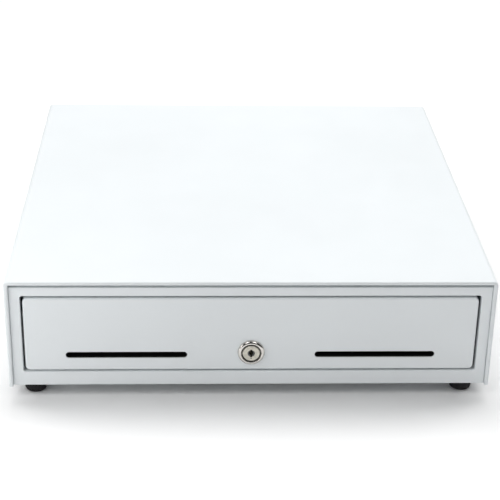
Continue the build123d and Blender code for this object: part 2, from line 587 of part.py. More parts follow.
# the lever is drawn as it holds the striker, on a plane turned by the release angle about its pivot
release = radians(RELEASE_ANGLE)
lever_plane = Plane(origin=(*PIVOT, LEVER_LOW), x_dir=(cos(release), sin(release), 0), z_dir=(0, 0, 1))
nose_x, nose_front = -3.5 - PIVOT[0], STRIKER_Y - 7.5 - PIVOT[1]
nose_back = STRIKER_Y - STRIKER_RADIUS - 0.5 - PIVOT[1]
with BuildPart() as lever:
    with BuildSketch(lever_plane) as outline:
        with BuildLine():
            Polyline(
                (nose_x, nose_back), (nose_x + 2, nose_front), (3, nose_front), (6, nose_front + 6), (6, 0),
                (-6, 0), (-6, nose_back), close=True,
            )
        make_face()
        Circle(6)
        Circle(PIVOT_RADIUS + FREE, mode=Mode.SUBTRACT)
        with Locations((-LINK_ARM * sin(half_turn), -LINK_ARM * cos(half_turn))):
            Circle(LINK_RADIUS + 0.35, mode=Mode.SUBTRACT)
    extrude(amount=LEVER_HIGH - LEVER_LOW)
finish(lever, "latch_hook")

SOLENOID_X, SOLENOID_LENGTH, SOLENOID_WIDE = 30.0, 40.0, 24.0
PLUNGER_RADIUS = 4.0
COIL_RADIUS = lever_mid - SHELF_TOP - 2.0
frame_far = SOLENOID_X + SOLENOID_LENGTH

with BuildPart() as solenoid_frame:
    y0, y1 = link_y - SOLENOID_WIDE / 2, link_y + SOLENOID_WIDE / 2
    block((SOLENOID_X, y0, SHELF_TOP), (frame_far, y1, SHELF_TOP + 2))
    for x in (SOLENOID_X, frame_far - 2):
        block((x, y0, SHELF_TOP), (x + 2, y1, SHELF_TOP + 24))
    with Locations((SOLENOID_X, link_y, lever_mid)):
        Cylinder(PLUNGER_RADIUS + 0.4, 8, rotation=(0, 90, 0), mode=Mode.SUBTRACT)
finish(solenoid_frame, "solenoid_frame")


def turned(x0, x1, radius, bore):
    """A ring about the solenoid's axis, from x0 to x1."""
    with Locations(((x0 + x1) / 2, link_y, lever_mid)):
        Cylinder(radius, x1 - x0, rotation=(0, 90, 0))
        Cylinder(bore, x1 - x0, rotation=(0, 90, 0), mode=Mode.SUBTRACT)


with BuildPart() as bobbin:
    turned(SOLENOID_X + 2, frame_far - 2, 5.5, 4.4)
    for x in (SOLENOID_X + 2, frame_far - 3.5):
        turned(x, x + 1.5, COIL_RADIUS, 4.4)
finish(bobbin, "solenoid_bobbin")

with BuildPart() as winding:
    turned(SOLENOID_X + 3.5, frame_far - 3.5, COIL_RADIUS - 0.6, 5.5)
finish(winding, "solenoid_winding")

with BuildPart() as plunger:
    far = link_x + 46
    with Locations(((link_x - 3 + far) / 2, link_y, lever_mid)):
        Cylinder(PLUNGER_RADIUS, far - link_x + 3, rotation=(0, 90, 0))
    block((link_x - 5, link_y - 6, LEVER_LOW - 0.3), (link_x + 12, link_y + 6, LEVER_HIGH + 0.3), Mode.SUBTRACT)
    with Locations((link_x, link_y, lever_mid)):
        Cylinder(LINK_RADIUS, 7)
finish(plunger, "solenoid_plunger")

SWITCH_X, SWITCH_Z, SWITCH_FACE = -50.0, 33.6, 168.5
with BuildPart() as switch_body:
    block((SWITCH_X - 10, SWITCH_FACE, SHELF_TOP), (SWITCH_X + 10, SWITCH_FACE + 10, SHELF_TOP + 10.4))
    fillet(switch_body.edges().filter_by(Axis.Y), 0.6)
    for x in (-6, 6):
        block((SWITCH_X + x - 1.5, SWITCH_FACE + 10, 31), (SWITCH_X + x + 1.5, SWITCH_FACE + 15, 31.6))
    with Locations((SWITCH_X, SWITCH_FACE + 2.5, SWITCH_Z)):
        Cylinder(1.6, 5.2, rotation=(90, 0, 0), mode=Mode.SUBTRACT)
finish(switch_body, "switch_body")

with BuildPart() as button:
    tip = TRAY_BACK + 0.4
    with Locations((SWITCH_X, (tip + SWITCH_FACE + 3) / 2, SWITCH_Z)):
        Cylinder(1.5, SWITCH_FACE + 3 - tip, rotation=(90, 0, 0))
    fillet(button.edges().sort_by(Axis.Y)[0], 0.6)
finish(button, "switch_button")

# ---------------------------------------------------------------- cable jack, lead and kick springs
JACK_FRONT = REAR_PLATE - 14.0          # inner end of the jack
with BuildPart() as jack:
    outer = REAR_PLATE + SHEET
    with Locations((JACK_X, (JACK_FRONT + outer) / 2, JACK_Z)):
        Box(JACK_WIDTH, outer - JACK_FRONT, JACK_TALL)
    with Locations((JACK_X, outer + 0.5, JACK_Z)):
        Box(JACK_WIDTH + 3, 1.0, JACK_TALL + 3)
    with Locations((JACK_X, outer - 4, JACK_Z + 0.8)):
        Box(9.8, 10.1, 6.8, mode=Mode.SUBTRACT)
    with Locations((JACK_X, outer - 4, JACK_Z - 3.4)):
        Box(3.4, 10.1, 2.2, mode=Mode.SUBTRACT)
finish(jack, "cable_jack")

LEAD_RADIUS = 1.25
lead_points = [
    Vector(JACK_X, JACK_FRONT, JACK_Z), Vector(JACK_X, JACK_FRONT - 12, JACK_Z),
    Vector(JACK_X - 9, 169.5, JACK_Z - 1.5), Vector(JACK_X - 27, 172, JACK_Z - 3),
    Vector(frame_far + 16, link_y, JACK_Z - 3), Vector(frame_far, link_y, JACK_Z - 3),
]
lead_radii = []
for before, corner, after in zip(lead_points, lead_points[1:], lead_points[2:]):
    turn = radians((corner - before).get_angle(after - corner))
    shorter = min((corner - before).length, (after - corner).length)
    lead_radii.append(0.45 * shorter / tan(turn / 2))
print("lead radii", [round(r, 1) for r in lead_radii])
with BuildPart() as lead:
    with BuildLine() as route:
        FilletPolyline(*lead_points, radius=lead_radii)
    with BuildSketch(Plane(origin=route.line @ 0, z_dir=route.line % 0)):
        Circle(LEAD_RADIUS)
    sweep()
finish(lead, "wire_lead")

SPRING_X, SPRING_Z, SPRING_RADIUS = 120.0, 66.0, 7.0
spring_places = [(s * SPRING_X, SPRING_Z) for s in (-1, 1)]
with BuildPart() as seats:
    with BuildSketch(across(REAR_PLATE)):
        with Locations(*spring_places):
            Circle(10)
    extrude(amount=3)
    with BuildSketch(across(REAR_PLATE - 3)):
        with Locations(*spring_places):
            Circle(4.5)
    extrude(amount=22)
finish(seats, "spring_seats")

with BuildPart() as kick_springs:
    with BuildSketch(across(REAR_PLATE - 3)):
        with Locations(*spring_places):
            Circle(SPRING_RADIUS)
            Circle(SPRING_RADIUS - 1.6, mode=Mode.SUBTRACT)
    extrude(amount=REAR_PLATE - 3 - TRAY_BACK - 0.3)
finish(kick_springs, "eject_springs")
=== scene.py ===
import json
from math import pi, radians

import bpy
from mathutils import Matrix, Vector


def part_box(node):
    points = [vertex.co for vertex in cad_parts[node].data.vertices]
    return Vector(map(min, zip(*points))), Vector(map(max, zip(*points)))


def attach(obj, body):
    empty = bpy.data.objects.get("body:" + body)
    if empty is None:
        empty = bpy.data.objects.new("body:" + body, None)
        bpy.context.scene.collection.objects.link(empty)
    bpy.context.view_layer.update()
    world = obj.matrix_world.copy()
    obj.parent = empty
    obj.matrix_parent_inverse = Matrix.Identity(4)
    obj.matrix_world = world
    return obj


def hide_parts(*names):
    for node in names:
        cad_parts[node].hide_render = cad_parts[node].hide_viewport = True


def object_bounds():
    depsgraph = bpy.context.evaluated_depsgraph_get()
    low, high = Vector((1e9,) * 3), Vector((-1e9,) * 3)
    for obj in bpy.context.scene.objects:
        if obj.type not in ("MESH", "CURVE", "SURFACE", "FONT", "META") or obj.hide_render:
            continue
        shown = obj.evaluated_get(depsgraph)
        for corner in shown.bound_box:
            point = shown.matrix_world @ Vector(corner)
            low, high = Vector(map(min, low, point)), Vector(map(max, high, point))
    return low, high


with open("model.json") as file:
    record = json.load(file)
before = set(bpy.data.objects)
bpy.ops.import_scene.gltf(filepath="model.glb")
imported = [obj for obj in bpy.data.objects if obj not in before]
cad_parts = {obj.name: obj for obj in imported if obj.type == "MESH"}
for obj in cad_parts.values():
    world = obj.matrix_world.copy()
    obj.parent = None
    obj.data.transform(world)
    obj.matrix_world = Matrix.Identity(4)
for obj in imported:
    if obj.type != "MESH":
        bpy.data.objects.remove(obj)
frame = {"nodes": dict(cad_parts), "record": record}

bl_info = {
    "name": "Cash drawer",
    "version": (1, 0, 0),
    "blender": (4, 5, 0),
    "location": "View3D > Sidebar > Cash drawer",
    "description": "Finishes and small fittings for the packed frame of a steel cash drawer",
    "category": "Add Mesh",
}

CAD_LOW, CAD_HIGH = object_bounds()
NODES = frame["nodes"]
MM = 0.001


def middle(node):
    """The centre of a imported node's box at rest."""
    low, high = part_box(node)
    return (low + high) / 2


LOCK_CENTRE = middle("lock_nut")


# ---------------------------------------------------------------- shader sums
class Dial:
    """A shader socket that takes part in sums: an expression on dials adds its Math nodes."""

    def __init__(self, tree, socket):
        self.tree, self.socket = tree, socket

    def sum_of(self, operation, first, second):
        settings = {"operation": operation}
        return add_node(self.tree, "ShaderNodeMath", settings, {0: first, 1: second})

    def __add__(self, other):
        return self.sum_of("ADD", self, other)

    __radd__ = __add__

    def __mul__(self, other):
        return self.sum_of("MULTIPLY", self, other)

    __rmul__ = __mul__

    def __sub__(self, other):
        return self.sum_of("SUBTRACT", self, other)

    def __rsub__(self, other):
        return self.sum_of("SUBTRACT", other, self)


def add_node(tree, kind, settings, inputs, output=0):
    """Adds one node: its settings first, then the values or links of its sockets."""
    node = tree.nodes.new(kind)
    for key, value in settings.items():
        setattr(node, key, value)
    for key, value in inputs.items():
        if isinstance(value, Dial):
            tree.links.new(value.socket, node.inputs[key])
        else:
            node.inputs[key].default_value = value
    return Dial(tree, node.outputs[output])


# The sockets of a Mix node that is set to colours
MIX_FACTOR, MIX_LOW, MIX_HIGH, MIX_COLOUR = 0, 6, 7, 2


class Finish:
    """A material being mixed: its node tree, its place on the piece, and its shader."""

    def __init__(self, name, **fixed):
        self.material = bpy.data.materials.new(name)
        self.material.use_nodes = True
        self.tree = self.material.node_tree
        self.tree.nodes.clear()
        self.shader = self.tree.nodes.new("ShaderNodeBsdfPrincipled")
        out = self.tree.nodes.new("ShaderNodeOutputMaterial")
        self.tree.links.new(self.shader.outputs[0], out.inputs["Surface"])
        for key, value in fixed.items():
            self.shader.inputs[key.replace("_", " ")].default_value = value
        self.place = self.node("ShaderNodeTexCoord", {}, {}, "Object")

    def node(self, kind, settings, inputs, output=0):
        return add_node(self.tree, kind, settings, inputs, output)

    def noise(self, scale, detail=2.0, rough=0.5, place=None):
        inputs = {"Vector": place or self.place, "Scale": scale, "Detail": detail,
                  "Roughness": rough}
        return self.node("ShaderNodeTexNoise", {"noise_dimensions": "3D"}, inputs)

    def cells(self, scale, feature="F1"):
        inputs = {"Vector": self.place, "Scale": scale}
        return self.node("ShaderNodeTexVoronoi", {"feature": feature}, inputs, "Distance")

    def stretched(self, scale, shift=(0, 0, 0)):
        """The place on the piece, stretched and then shifted."""
        inputs = {"Vector": self.place, "Location": shift, "Scale": scale}
        return self.node("ShaderNodeMapping", {"vector_type": "POINT"}, inputs)

    def between(self, factor, low, high):
        """A colour between two colours, either of which may be a socket."""
        low, high = (c if isinstance(c, Dial) else (*c, 1.0) for c in (low, high))
        inputs = {MIX_FACTOR: factor, MIX_LOW: low, MIX_HIGH: high}
        return self.node("ShaderNodeMix", {"data_type": "RGBA"}, inputs, MIX_COLOUR)

    def clamped(self, value, low, high):
        """0 below low, 1 above high, and a straight line between them."""
        inputs = {"Value": value, "From Min": low, "From Max": high}
        return self.node("ShaderNodeMapRange", {"clamp": True}, inputs)

    def set(self, **links):
        for key, value in links.items():
            self.tree.links.new(value.socket, self.shader.inputs[key.replace("_", " ")])
        return self

    def relief(self, height, depth, strength):
        """Bumps the surface by height, depth metres at 1."""
        inputs = {"Strength": strength, "Distance": depth, "Height": height}
        return self.set(Normal=self.node("ShaderNodeBump", {}, inputs))


# ---------------------------------------------------------------- finishes
def tinted(colour, red, green, blue):
    """A colour with each of its channels times a number."""
    return (colour[0] * red, colour[1] * green, colour[2] * blue)


def dimmed(colour, share):
    """A colour at a share of its brightness."""
    return tinted(colour, share, share, share)


def powder_coat(name, colour):
    """White powder coat: a fine orange-peel skin with faint clouding."""
    f = Finish(name, Specular_IOR_Level=0.42)
    peel = f.noise(scale=620.0, detail=2.0, rough=0.55)
    grit = f.noise(scale=2600.0, detail=1.0)
    cloud = f.noise(scale=7.0, detail=3.0)
    handling = f.noise(scale=42.0, detail=4.0, rough=0.65)
    f.set(Base_Color=f.between(f.clamped(cloud, low=0.3, high=0.7), dimmed(colour, 0.965), colour))
    f.set(Roughness=0.40 + 0.10 * f.clamped(handling, low=0.35, high=0.7) + 0.05 * grit)
    return f.relief(0.75 * peel + 0.25 * grit, depth=0.06 * MM, strength=0.8)


def zinc_plate(name, colour, grain, shine):
    """Bright zinc on rolled steel: grain along the sheet, soft clouds and a faint blue cast."""
    f = Finish(name, Metallic=1.0)
    rolled = f.noise(scale=1.0, detail=3.0, rough=0.6, place=f.stretched(grain))
    cloud = f.noise(scale=55.0, detail=3.0, rough=0.6)
    spangle = f.clamped(f.cells(scale=140.0), low=0.1, high=0.7)
    warm, cool = tinted(colour, 1.04, 1.0, 0.93), tinted(colour, 0.90, 0.96, 1.04)
    tone = f.between(f.clamped(cloud, low=0.32, high=0.68), warm, cool)
    crystal = (0.55, 0.57, 0.60)
    f.set(Base_Color=f.between(0.22 * spangle, tone, crystal))
    f.set(Roughness=shine + 0.14 * f.clamped(rolled, low=0.3, high=0.7) + 0.08 * cloud)
    return f.relief(rolled, depth=0.04 * MM, strength=0.5)


def turned_nickel(name, colour, rings, rough):
    """Nickel turned on a lathe about the lock's axis, which runs from front to back."""
    f = Finish(name, Metallic=1.0)
    flat = f.stretched((1.0, 0.0, 1.0), shift=(-LOCK_CENTRE.x, 0.0, -LOCK_CENTRE.z))
    radius = f.node("ShaderNodeVectorMath", {"operation": "LENGTH"}, {0: flat}, "Value")
    inputs = {"W": radius, "Scale": rings, "Detail": 2.0}
    groove = f.node("ShaderNodeTexNoise", {"noise_dimensions": "1D"}, inputs)
    smudge = f.noise(scale=260.0, detail=3.0)
    dull = dimmed(colour, 0.86)
    f.set(Base_Color=f.between(f.clamped(smudge, low=0.35, high=0.7), colour, dull))
    f.set(Roughness=rough + 0.10 * groove + 0.08 * f.clamped(smudge, low=0.4, high=0.7))
    return f.relief(groove, depth=0.03 * MM, strength=0.6)


def moulded(name, colour, grain, depth, rough):
    """Moulded plastic with a spark-eroded grain and clouds a quarter paler."""
    f = Finish(name, Specular_IOR_Level=0.45)
    pits = f.cells(grain, "SMOOTH_F1")
    fine = f.noise(scale=grain * 1.7)
    cloud = f.noise(scale=18.0, detail=3.0)
    pale = tuple(min(1.0, c * 1.25 + 0.004) for c in colour)
    f.set(Base_Color=f.between(f.clamped(cloud, low=0.3, high=0.75), colour, pale))
    f.set(Roughness=rough + 0.12 * f.clamped(fine, low=0.3, high=0.7))
    return f.relief(0.6 * pits + 0.4 * fine, depth=depth, strength=0.9)


def foot_rubber(name):
    """Black rubber with a dull bloom and a trace of dust towards the floor."""
    f = Finish(name, Specular_IOR_Level=0.35)
    bloom = f.noise(scale=90.0, detail=4.0, rough=0.6)
    fine = f.noise(scale=1500.0)
    height = f.node("ShaderNodeSeparateXYZ", {}, {0: f.place}, "Z")
    low_down = 1 - f.clamped(height, low=0.0, high=6.0 * MM)
    dust = 0.55 * low_down * f.clamped(bloom, low=0.45, high=0.8)
    black, dusty = (0.012, 0.011, 0.012), (0.07, 0.068, 0.065)
    f.set(Base_Color=f.between(dust, black, dusty))
    f.set(Roughness=0.62 + 0.2 * bloom)
    return f.relief(fine, depth=0.08 * MM, strength=0.7)


def wound_wire(name, colour):
    """Enamelled or gilt wire."""
    f = Finish(name, Metallic=0.85, Coat_Weight=0.6, Coat_Roughness=0.15)
    tone = f.noise(scale=160.0)
    f.set(Base_Color=f.between(tone, dimmed(colour, 0.7), colour))
    f.set(Roughness=0.24 + 0.15 * tone)
    return f.relief(f.noise(scale=2200.0), depth=0.02 * MM, strength=0.4)


def spring_wire(name):
    """Hard-drawn spring wire with a fine drawn skin and oil-dark patches."""
    f = Finish(name, Metallic=1.0)
    stain = f.noise(scale=120.0, detail=3.0)
    bright, oiled = (0.52, 0.52, 0.53), (0.27, 0.26, 0.26)
    f.set(Base_Color=f.between(f.clamped(stain, low=0.4, high=0.75), bright, oiled))
    f.set(Roughness=0.26 + 0.18 * stain)
    return f.relief(f.noise(scale=700.0), depth=0.02 * MM, strength=0.4)


def even(grain):
    """A grain that is the same every way."""
    return (grain, grain, grain)


def make_finishes():
    """Every finish of the drawer, by name."""
    sheet_grain, rail_grain = (40.0, 900.0, 900.0), (900.0, 12.0, 900.0)
    return {
        "powder coat": powder_coat("white powder coat", (0.836, 0.872, 0.889)),
        "zinc": zinc_plate("bright zinc plate", (0.70, 0.715, 0.73), sheet_grain, shine=0.30),
        "rail zinc": zinc_plate("rolled rail zinc", (0.74, 0.75, 0.76), rail_grain, shine=0.24),
        "screw zinc": zinc_plate("screw zinc", (0.72, 0.73, 0.75), even(1500.0), shine=0.26),
        "dark steel": zinc_plate("blackened steel", (0.045, 0.043, 0.04), even(700.0), shine=0.42),
        "ball": zinc_plate("ground ball steel", (0.80, 0.80, 0.81), even(600.0), shine=0.06),
        "polished nickel": turned_nickel(
            "polished nickel ring", (0.70, 0.675, 0.64), rings=900.0, rough=0.05),
        "satin nickel": turned_nickel(
            "satin nickel plug", (0.56, 0.535, 0.47), rings=2600.0, rough=0.30),
        "rubber": foot_rubber("black foot rubber"),
        "till": moulded(
            "grained black till", (0.022, 0.023, 0.025), grain=1300.0, depth=0.12 * MM, rough=0.46),
        "black plastic": moulded(
            "smooth black plastic", (0.012, 0.012, 0.013), grain=2400.0, depth=0.03 * MM,
            rough=0.30),
        "nylon": moulded(
            "natural nylon", (0.80, 0.79, 0.73), grain=2200.0, depth=0.03 * MM, rough=0.36),
        "sheath": moulded(
            "grey lead sheath", (0.10, 0.10, 0.105), grain=3000.0, depth=0.03 * MM, rough=0.42),
        "winding": wound_wire("enamelled winding", (0.75, 0.32, 0.10)),
        "gold": wound_wire("gilt contact", (0.90, 0.68, 0.28)),
        "spring": spring_wire("spring wire"),
    }


FINISHES = {}
FINISH_OF_SLOT = {
    "white_paint": "powder coat", "zinc_steel": "zinc", "nickel": "polished nickel",
    "black_rubber": "rubber", "till_plastic": "till", "black_plastic": "black plastic",
    "white_nylon": "nylon", "winding_tape": "winding", "spring_wire": "spring",
    "ball_steel": "ball", "screw_steel": "screw zinc", "grey_sheath": "sheath",
}
FINISH_OF_NODE = {
    "lock_plug": "satin nickel",
    **{f"{rail}_rail_{side}": "rail zinc"
       for rail in ("outer", "middle", "inner") for side in ("left", "right")},
}


# ---------------------------------------------------------------- modelling helpers
def clear_selection():
    bpy.ops.object.select_all(action="DESELECT")


def pick(piece):
    """Makes piece the only selected object and the active one."""
    clear_selection()
    piece.select_set(True)
    bpy.context.view_layer.objects.active = piece


def added(name):
    """The object that the last operator added, named."""
    piece = bpy.context.active_object
    piece.name = piece.data.name = name
    return piece


def settle(piece):
    """Puts a piece's place, turn and size into its mesh, so that its object is at the origin."""
    pick(piece)
    bpy.ops.object.transform_apply(location=True, rotation=True, scale=True)
    return piece


def apply_modifiers(piece):
    """Applies a piece's modifiers in their order."""
    pick(piece)
    for modifier in list(piece.modifiers):
        bpy.ops.object.modifier_apply(modifier=modifier.name)
    return piece


def eased(piece, width, segments):
    """Rounds every sharp edge of a piece."""
    ease = piece.modifiers.new("Ease", "BEVEL")
    ease.width, ease.segments = width, segments
    return apply_modifiers(piece)


def outward(piece):
    """Merges doubled points and turns every face outwards."""
    pick(piece)
    bpy.ops.object.mode_set(mode="EDIT")
    bpy.ops.mesh.select_all(action="SELECT")
    bpy.ops.mesh.remove_doubles(threshold=MM / 1000)
    bpy.ops.mesh.normals_make_consistent(inside=False)
    bpy.ops.object.mode_set(mode="OBJECT")


def smooth(piece, angle=35.0):
    """Shades a piece smooth but for the edges sharper than an angle in degrees."""
    pick(piece)
    bpy.ops.object.shade_smooth_by_angle(angle=radians(angle))
    return piece


def copied(piece, name, move):
    """A copy of a settled piece with a mesh of its own, moved by a vector."""
    twin = piece.copy()
    twin.data = piece.data.copy()
    twin.name = twin.data.name = name
    bpy.context.collection.objects.link(twin)
    twin.data.transform(Matrix.Translation(move))
    return twin


def joined(pieces, name):
    """Joins settled pieces into one."""
    clear_selection()
    for piece in pieces:
        piece.select_set(True)
    bpy.context.view_layer.objects.active = pieces[0]
    bpy.ops.object.join()
    return added(name)


def wear(piece, finish, slot, body, *stands_for):
    """Gives a finished piece its material and its body, and hides the nodes it replaces; its record
    slot is not used.
    """
    piece.data.materials.clear()
    piece.data.materials.append(FINISHES[finish].material)
    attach(piece, body)
    if stands_for:
        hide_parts(*stands_for)


def coil(name, start, along, radius, wire, turns, length, steps=24, sides=8):
    """A wound spring from start along a direction: one wire section carried round by a screw."""
    clear_selection()
    bpy.ops.mesh.primitive_circle_add(vertices=sides, radius=wire, fill_type="NOTHING",
                                      location=(radius, 0, 0), rotation=(pi / 2, 0, 0))
    spring = settle(added(name))
    screw = spring.modifiers.new("Wind", "SCREW")
    screw.axis, screw.angle = "Z", 2 * pi
    screw.iterations, screw.screw_offset = turns, length / turns
    screw.steps = screw.render_steps = steps
    screw.use_merge_vertices = False
    apply_modifiers(spring)
    bpy.ops.object.mode_set(mode="EDIT")
    bpy.ops.mesh.select_all(action="SELECT")
    bpy.ops.mesh.fill_holes(sides=sides)
    bpy.ops.object.mode_set(mode="OBJECT")
    outward(spring)
    spring.rotation_mode = "QUATERNION"
    spring.rotation_quaternion = Vector(along).to_track_quat("Z", "Y")
    spring.location = start
    return smooth(settle(spring), angle=60.0)


def block(name, size, place, tilt=0.0):
    """A block to be eased or to cut with, tilted about X by an angle in degrees."""
    clear_selection()
    bpy.ops.mesh.primitive_cube_add(size=1.0, scale=size, location=place,
                                    rotation=(radians(tilt), 0, 0))
    return settle(added(name))


def disc(name, radius, depth, front, drop=0.0, steps=48):
    """A disc that faces the front, its face at front, on the lock's axis or a drop below it."""
    clear_selection()
    place = (LOCK_CENTRE.x, front + depth / 2, LOCK_CENTRE.z - drop)
    bpy.ops.mesh.primitive_cylinder_add(vertices=steps, radius=radius, depth=depth,
                                        location=place, rotation=(pi / 2, 0, 0))
    return settle(added(name))


def cut_away(piece, cutter):
    """Cuts one settled piece out of another, and removes the cutter."""
    cut = piece.modifiers.new("Cut", "BOOLEAN")
    cut.operation, cut.solver, cut.object = "DIFFERENCE", "EXACT", cutter
    apply_modifiers(piece)
    bpy.data.objects.remove(cutter)
    return piece


# ---------------------------------------------------------------- sizes a user would change
class DrawerFinishSizes(bpy.types.PropertyGroup):
    """Sizes of the small fittings."""

    kick_wire: bpy.props.FloatProperty(
        name="Kick spring wire", description="Radius of the kick springs' wire",
        default=0.8 * MM, unit="LENGTH")
    kick_turns: bpy.props.IntProperty(
        name="Kick spring turns", description="Turns of each kick spring", default=9, min=3)
    arm_wire: bpy.props.FloatProperty(
        name="Small spring wire", description="Radius of the latch's and note arms' spring wire",
        default=0.45 * MM, unit="LENGTH")
    winding_wire: bpy.props.FloatProperty(
        name="Winding wire", description="Radius of the solenoid's wire",
        default=0.5 * MM, unit="LENGTH")
    rivet_radius: bpy.props.FloatProperty(
        name="Rivet head", description="Radius of the slides' rivet heads",
        default=3.2 * MM, unit="LENGTH")
    rivet_rise: bpy.props.FloatProperty(
        name="Rivet rise", description="Height of the slides' rivet heads",
        default=1.0 * MM, unit="LENGTH")


class StudioSizes(bpy.types.PropertyGroup):
    """The stand that the drawer is shown on, and its lamps."""

    floor_size: bpy.props.FloatProperty(
        name="Floor", description="Width of the pale floor", default=14.0, unit="LENGTH")
    floor_colour: bpy.props.FloatVectorProperty(
        name="Floor colour", description="Colour of the floor",
        subtype="COLOR", default=(0.985, 0.985, 0.985))
    overhead_power: bpy.props.FloatProperty(
        name="Overhead lamps", description="Power of the lamps above, in watts", default=71.0)
    front_power: bpy.props.FloatProperty(
        name="Front lamps", description="Power of the two soft boxes above the front, in watts",
        default=13.0)
    side_power: bpy.props.FloatProperty(
        name="Side lamp", description="Power of the lamp at the front left, in watts", default=0.5)
    sky: bpy.props.FloatProperty(
        name="Surround", description="Brightness of the white surround", default=0.06)


# ---------------------------------------------------------------- stage
# Each lamp: name, place, target, width and length, the property that holds its power, its share
LAMPS = (
    ("overhead left", (-1.05, 0.70, 1.9), (-0.2, 0.55, 0.05), (1.3, 3.2), "overhead_power", 0.50),
    ("overhead right", (1.05, 0.70, 1.9), (0.2, 0.55, 0.05), (1.3, 3.2), "overhead_power", 0.50),
    ("soft box left", (-0.75, -1.10, 1.55), (0.0, -0.2, 0.05), (0.7, 0.9), "front_power", 0.54),
    ("soft box right", (0.75, -1.10, 1.55), (0.0, -0.2, 0.05), (0.7, 0.9), "front_power", 0.46),
    ("front left", (-0.52, -0.42, 0.20), (-0.17, -0.2, 0.03), (0.22, 0.22), "side_power", 1.0),
)
# The camera: its sensor and lens in millimetres, its shift in sensor widths
CAMERA_PLACE = (-0.050, -1.2225, 0.648)
CAMERA_TURN = (radians(64.43), radians(-1.14), radians(-2.26))
CAMERA_SENSOR, CAMERA_LENS = 36.0, 100.15
CAMERA_SHIFT = (-0.0074, -0.040)


class DRAWER_OT_stage(bpy.types.Operator):
    """Lays the floor and sets the lamps, the surround and the camera"""

    bl_idname = "drawer.stage"
    bl_label = "Stage"

    def execute(self, context):
        sizes = context.scene.studio_sizes
        clear_selection()
        bpy.ops.mesh.primitive_plane_add(size=sizes.floor_size, location=(0, 0, CAD_LOW.z))
        floor = settle(added("floor"))
        paint = Finish("pale floor", Roughness=0.85, Specular_IOR_Level=0.1)
        colour = tuple(sizes.floor_colour)
        paint.set(Base_Color=paint.between(paint.noise(scale=1.3), dimmed(colour, 0.99), colour))
        floor.data.materials.append(paint.material)

        for name, place, target, size, power, share in LAMPS:
            bpy.ops.object.light_add(type="AREA", location=place)
            lamp = added(name)
            lamp.data.shape = "RECTANGLE"
            lamp.data.size, lamp.data.size_y = size
            lamp.data.energy = getattr(sizes, power) * share
            lamp.visible_camera = False
            aim = Vector(target) - Vector(place)
            lamp.rotation_euler = aim.to_track_quat("-Z", "Y").to_euler()

        world = bpy.data.worlds.new("surround")
        world.use_nodes = True
        background = world.node_tree.nodes["Background"]
        background.inputs["Color"].default_value = (1.0, 1.0, 1.0, 1.0)
        background.inputs["Strength"].default_value = sizes.sky
        context.scene.world = world
        context.scene.view_settings.view_transform = "Standard"

        bpy.ops.object.camera_add(location=CAMERA_PLACE)
        camera = added("camera")
        camera.rotation_euler = CAMERA_TURN
        camera.data.sensor_width, camera.data.lens = CAMERA_SENSOR, CAMERA_LENS
        camera.data.shift_x, camera.data.shift_y = CAMERA_SHIFT
        context.scene.camera = camera
        return {"FINISHED"}


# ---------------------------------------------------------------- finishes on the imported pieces
class DRAWER_OT_finishes(bpy.types.Operator):
    """Paints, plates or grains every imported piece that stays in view"""

    bl_idname = "drawer.finishes"
    bl_label = "Finishes"

    def execute(self, context):
        FINISHES.update(make_finishes())
        for part in frame["record"]["subparts"]:
            node = NODES[part["node"]]
            name = FINISH_OF_NODE.get(part["node"], FINISH_OF_SLOT[part["material_slot"]])
            node.data.materials.clear()
            node.data.materials.append(FINISHES[name].material)
        return {"FINISHED"}


# ---------------------------------------------------------------- springs and winding
class DRAWER_OT_kick_springs(bpy.types.Operator):
    """Winds the two springs that kick the drawer open"""

    bl_idname = "drawer.kick_springs"
    bl_label = "Kick springs"

    def execute(self, context):
        sizes = context.scene.drawer_sizes
        low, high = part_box("eject_springs")
        wire, outside = sizes.kick_wire, (high.z - low.z) / 2
        start = (low.x + outside, high.y - wire, (high.z + low.z) / 2)
        left = coil("kick_spring_left", start, (0, -1, 0), outside - wire, wire,
                    sizes.kick_turns, high.y - low.y - 2 * wire)
        right = copied(left, "kick_spring_right", Vector((high.x - low.x - 2 * outside, 0, 0)))
        springs = joined([left, right], "kick_springs")
        wear(springs, "spring", "spring_wire", "case", "eject_springs")
        return {"FINISHED"}


LATCH_SPRING_TURNS, ARM_SPRING_TURNS = 4, 6
# How far each arm spring starts from the middle of its arm, and how long it is
ARM_SPRING_START, ARM_SPRING_LENGTH = 7.0 * MM, 7.0 * MM
ARM_COUNT = 4


class DRAWER_OT_small_springs(bpy.types.Operator):
    """Winds the latch's spring and the note arms' springs"""

    bl_idname = "drawer.small_springs"
    bl_label = "Latch and arm springs"

    def execute(self, context):
        wire = context.scene.drawer_sizes.arm_wire
        low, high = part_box("latch_spring")
        centre = middle("latch_spring")
        latch = coil("latch_spring_wound", (centre.x, centre.y, low.z + wire), (0, 0, 1),
                     (high.x - low.x) / 2 - wire, wire, LATCH_SPRING_TURNS,
                     high.z - low.z - 2 * wire)
        wear(latch, "spring", "spring_wire", "case", "latch_spring")

        low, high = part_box("arm_springs")
        rod = middle("arm_rod")
        arms = [middle(f"bill_arm_{number + 1}").x for number in range(ARM_COUNT)]
        pair = [coil(f"arm_spring_{side}", (arms[0] + side * ARM_SPRING_START, rod.y, rod.z),
                     (side, 0, 0), (high.z - low.z) / 2 - wire, wire, ARM_SPRING_TURNS,
                     ARM_SPRING_LENGTH, steps=16, sides=6)
                for side in (-1, 1)]
        others = [copied(spring, spring.name, Vector((x - arms[0], 0, 0)))
                  for x in arms[1:] for spring in pair]
        springs = joined(pair + others, "arm_springs_wound")
        wear(springs, "spring", "spring_wire", "drawer", "arm_springs")
        return {"FINISHED"}


